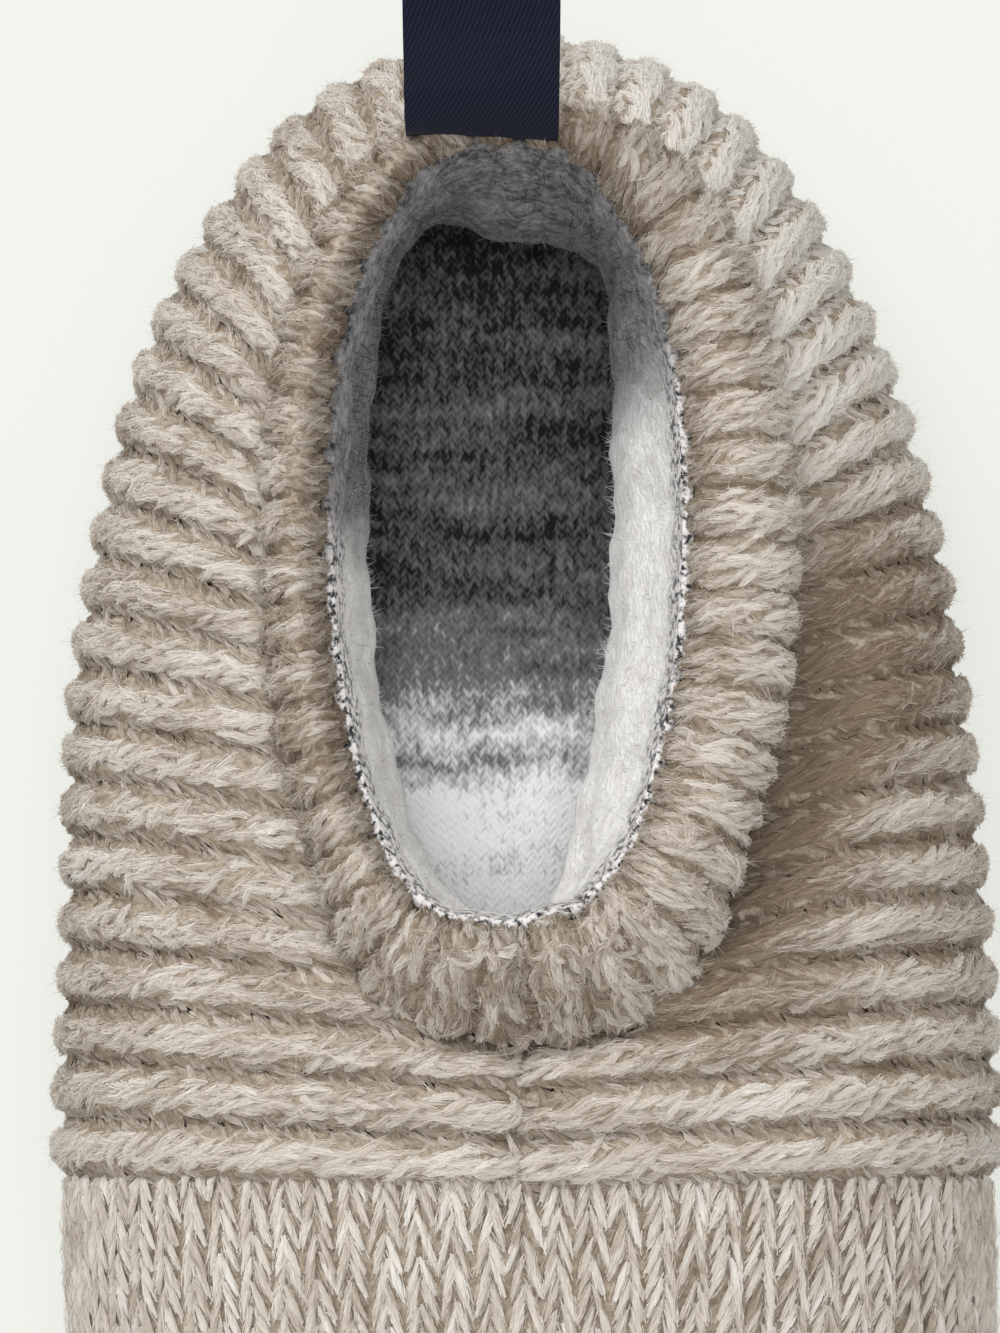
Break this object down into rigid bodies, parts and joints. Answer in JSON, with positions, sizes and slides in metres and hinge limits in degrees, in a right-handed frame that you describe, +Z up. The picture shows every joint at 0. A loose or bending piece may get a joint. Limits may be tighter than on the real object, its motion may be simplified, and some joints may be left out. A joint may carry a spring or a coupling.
{
  "type": "knitted house slipper",
  "caption": "Chunky knitted house slipper for the right foot, with ridged sides, smooth toe, rolled collar, soft sole and a tape pull loop at the heel.",
  "frame": {"origin": "middle of the slipper's footprint, on the floor that the sole rests on", "axes": "+Z up, +Y towards the heel, -Y towards the toe, +X towards the inner side of the foot"},
  "size_m": [0.1046, 0.2554, 0.0887],
  "materials": {
    "outsole_suede": "napped taupe suede",
    "insole_marl": "brushed grey marl knit",
    "upper_knit": "hand-knitted oatmeal wool",
    "collar_knit": "ribbed oatmeal wool",
    "loop_tape": "navy cotton twill tape"
  },
  "bodies": {
    "root": {"outsole": "outsole_suede", "insole": "insole_marl", "upper": "upper_knit", "collar": "collar_knit", "pull_loop": "loop_tape"}
  },
  "joints": []
}
